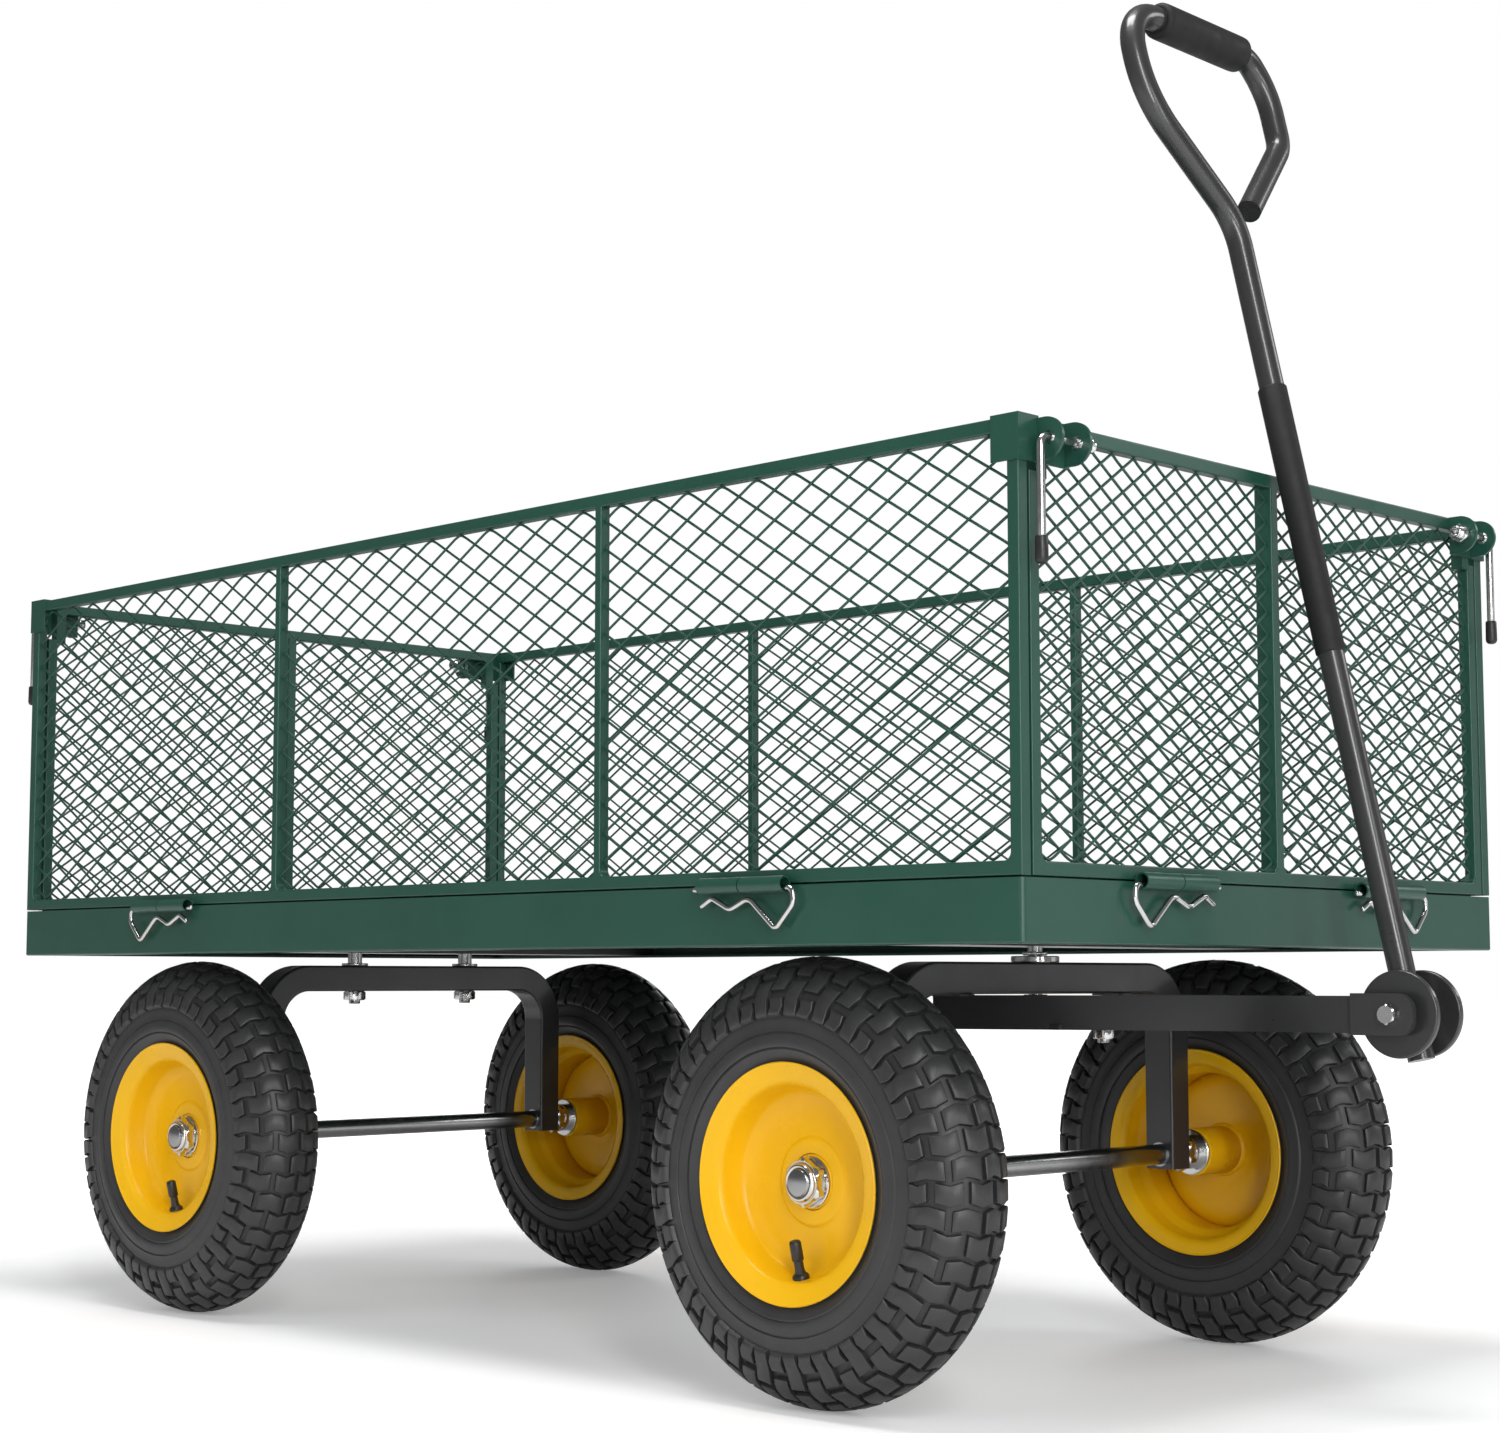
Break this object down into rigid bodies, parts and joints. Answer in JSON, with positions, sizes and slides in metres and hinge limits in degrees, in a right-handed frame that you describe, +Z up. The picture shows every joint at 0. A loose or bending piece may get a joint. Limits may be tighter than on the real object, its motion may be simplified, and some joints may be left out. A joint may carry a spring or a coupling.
{
  "type": "garden cart",
  "caption": "Steel garden wagon: flat bed with fold-down mesh gates on corner latches, steered front axle, pneumatic wheels and a tilting loop pull handle.",
  "frame": {"origin": "ground level, centred under the whole cart's length and width", "axes": "+X forward towards the pull handle, +Y to the cart's left, +Z up"},
  "size_m": [1.4175, 0.6352, 1.054],
  "materials": {
    "green_powder_coat": "satin powder coat on the bed skirt, gate frames and their ears",
    "green_mesh": "satin powder coat on the woven wire of the gates",
    "black_powder_coat": "satin black powder coat on the axle frames, drawbar, handle and deck supports",
    "yellow_paint": "gloss yellow enamel on the wheel rims",
    "tyre_rubber": "matt black tyre rubber",
    "valve_rubber": "black valve rubber",
    "foam": "closed-cell foam with a fine skin",
    "zinc": "bright zinc plate on bolts, nuts and washers",
    "dark_steel": "dark oiled steel on the axles",
    "bearing_steel": "bright bearing steel",
    "rod_plate": "zinc-plated wire on latch rods and clips",
    "black_vinyl": "dipped vinyl tips and the tube plug"
  },
  "bodies": {
    "bed": {"bed_frame": "green_powder_coat", "floor_deck": "green_powder_coat", "floor_supports": "black_powder_coat", "front_gate_frame": "green_powder_coat", "front_gate_mesh": "green_mesh", "front_gate_catches": "zinc", "bed_hinge_barrels": "green_powder_coat", "hinge_clips": "rod_plate", "rear_axle_frame": "black_powder_coat", "rear_frame_bolts": "zinc", "rear_axle": "dark_steel", "rear_axle_nuts": "zinc", "kingpin": "zinc"},
    "steering": {"front_axle_frame": "black_powder_coat", "front_axle": "dark_steel", "front_axle_nuts": "zinc", "thrust_washer": "zinc", "drawbar": "black_powder_coat", "drawbar_brace_bolt": "zinc", "clevis": "black_powder_coat", "handle_pivot_bolt": "zinc"},
    "handle": {"handle_tube": "black_powder_coat", "handle_pivot_discs": "black_powder_coat", "shaft_sleeve": "foam", "hand_grip": "foam", "handle_end_plug": "black_vinyl"},
    "right_gate": {"right_gate_frame": "green_powder_coat", "right_gate_mesh": "green_mesh", "right_gate_caps": "green_powder_coat"},
    "left_gate": {"left_gate_frame": "green_powder_coat", "left_gate_mesh": "green_mesh", "left_gate_caps": "green_powder_coat"},
    "rear_gate": {"rear_gate_frame": "green_powder_coat", "rear_gate_mesh": "green_mesh", "rear_gate_catches": "zinc"},
    "front_right_wheel": {"front_right_tyre": "tyre_rubber", "front_right_rim": "yellow_paint", "front_right_valve": "valve_rubber", "front_right_bearings": "bearing_steel"},
    "front_left_wheel": {"front_left_tyre": "tyre_rubber", "front_left_rim": "yellow_paint", "front_left_valve": "valve_rubber", "front_left_bearings": "bearing_steel"},
    "rear_right_wheel": {"rear_right_tyre": "tyre_rubber", "rear_right_rim": "yellow_paint", "rear_right_valve": "valve_rubber", "rear_right_bearings": "bearing_steel"},
    "rear_left_wheel": {"rear_left_tyre": "tyre_rubber", "rear_left_rim": "yellow_paint", "rear_left_valve": "valve_rubber", "rear_left_bearings": "bearing_steel"},
    "front_right_latch": {"front_right_latch_rod": "rod_plate", "front_right_latch_tip": "black_vinyl"},
    "front_left_latch": {"front_left_latch_rod": "rod_plate", "front_left_latch_tip": "black_vinyl"},
    "rear_right_latch": {"rear_right_latch_rod": "rod_plate", "rear_right_latch_tip": "black_vinyl"},
    "rear_left_latch": {"rear_left_latch_rod": "rod_plate", "rear_left_latch_tip": "black_vinyl"}
  },
  "joints": [
    {"name": "steer", "type": "hinge", "parent": "bed", "child": "steering", "pos_m": [0.341, 0, 0.31], "axis": [0, 0, 1], "range_deg": [-8, 8]},
    {"name": "handle_tilt", "type": "hinge", "parent": "steering", "child": "handle", "pos_m": [0.6775, 0, 0.2835], "axis": [0, 1, 0], "range_deg": [0, 118]},
    {"name": "right_gate_fold", "type": "hinge", "parent": "bed", "child": "right_gate", "pos_m": [-0.056, -0.3116, 0.3755], "axis": [1, 0, 0], "range_deg": [0, 172]},
    {"name": "left_gate_fold", "type": "hinge", "parent": "bed", "child": "left_gate", "pos_m": [-0.056, 0.3116, 0.3755], "axis": [-1, 0, 0], "range_deg": [0, 172]},
    {"name": "rear_gate_fold", "type": "hinge", "parent": "bed", "child": "rear_gate", "pos_m": [-0.6916, 0, 0.3755], "axis": [0, -1, 0], "range_deg": [0, 176]},
    {"name": "front_right_wheel_spin", "type": "hinge", "parent": "steering", "child": "front_right_wheel", "pos_m": [0.341, -0.2502, 0.1625], "axis": [0, 1, 0], "continuous": true},
    {"name": "front_left_wheel_spin", "type": "hinge", "parent": "steering", "child": "front_left_wheel", "pos_m": [0.341, 0.2502, 0.1625], "axis": [0, 1, 0], "continuous": true},
    {"name": "rear_right_wheel_spin", "type": "hinge", "parent": "bed", "child": "rear_right_wheel", "pos_m": [-0.459, -0.2502, 0.1625], "axis": [0, 1, 0], "continuous": true},
    {"name": "rear_left_wheel_spin", "type": "hinge", "parent": "bed", "child": "rear_left_wheel", "pos_m": [-0.459, 0.2502, 0.1625], "axis": [0, 1, 0], "continuous": true},
    {"name": "front_right_latch_pull", "type": "slide", "parent": "right_gate", "child": "front_right_latch", "axis": [0, -1, 0], "range_m": [-0.005, 0.034]},
    {"name": "front_left_latch_pull", "type": "slide", "parent": "left_gate", "child": "front_left_latch", "axis": [0, 1, 0], "range_m": [-0.005, 0.034]},
    {"name": "rear_right_latch_pull", "type": "slide", "parent": "right_gate", "child": "rear_right_latch", "axis": [0, -1, 0], "range_m": [-0.005, 0.034]},
    {"name": "rear_left_latch_pull", "type": "slide", "parent": "left_gate", "child": "rear_left_latch", "axis": [0, 1, 0], "range_m": [-0.005, 0.034]}
  ]
}
